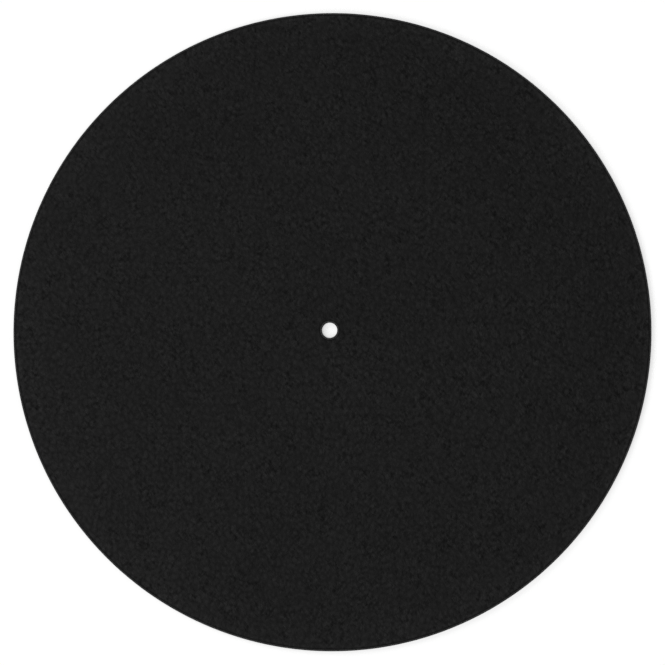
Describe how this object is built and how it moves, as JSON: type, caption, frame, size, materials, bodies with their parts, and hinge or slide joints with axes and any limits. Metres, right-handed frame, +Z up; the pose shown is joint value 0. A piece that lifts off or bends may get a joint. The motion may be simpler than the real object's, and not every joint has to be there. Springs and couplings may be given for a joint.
{
  "type": "turntable platter mat",
  "caption": "Flat round mat of black pebble-grain leather with a spindle hole in its middle, laid loose on a turntable platter under the record.",
  "frame": {"origin": "middle of the spindle hole, on the underside that lies on the platter", "axes": "+Z up along the spindle, out of the grain side; X and Y lie in the platter's plane and are free, because the mat is round"},
  "size_m": [0.3, 0.3, 0.002],
  "materials": {
    "black_leather": "dull pebble grain, dyed through"
  },
  "bodies": {
    "root": {"platter_mat": "black_leather"}
  },
  "joints": []
}
